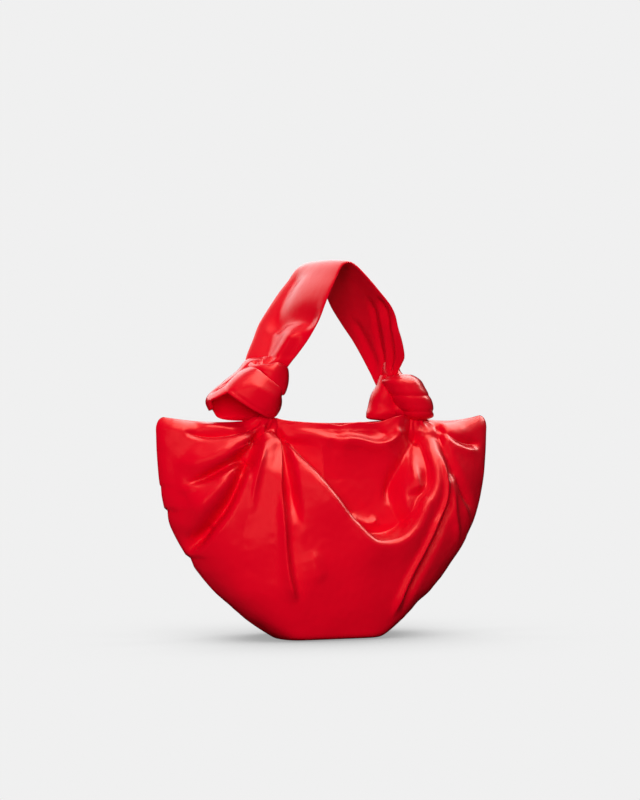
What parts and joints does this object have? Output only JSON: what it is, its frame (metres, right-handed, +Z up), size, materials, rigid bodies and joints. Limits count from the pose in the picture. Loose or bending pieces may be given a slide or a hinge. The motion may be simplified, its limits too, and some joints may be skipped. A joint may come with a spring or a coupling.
{
  "type": "top handle bag",
  "caption": "Soft half-moon satin handbag gathered into two necks under a broad knotted top handle.",
  "frame": {"origin": "on the floor under the middle of the flat base, on the seam between the front and back panels", "axes": "+Z up towards the handle, +X to the right seen from the front, the front panel faces -Y"},
  "size_m": [0.3098, 0.097, 0.3309],
  "materials": {
    "satin": "glossy red satin over a soft interlining",
    "lining_twill": "matt red twill lining",
    "board": "grey stiffening board, hidden under the lining",
    "nickel": "plain nickel-plated magnetic snap"
  },
  "bodies": {
    "root": {"front_panel": "satin", "back_panel": "satin", "handle": "satin", "lining": "lining_twill", "base_board": "board", "snap_front": "nickel", "snap_back": "nickel"}
  },
  "joints": []
}
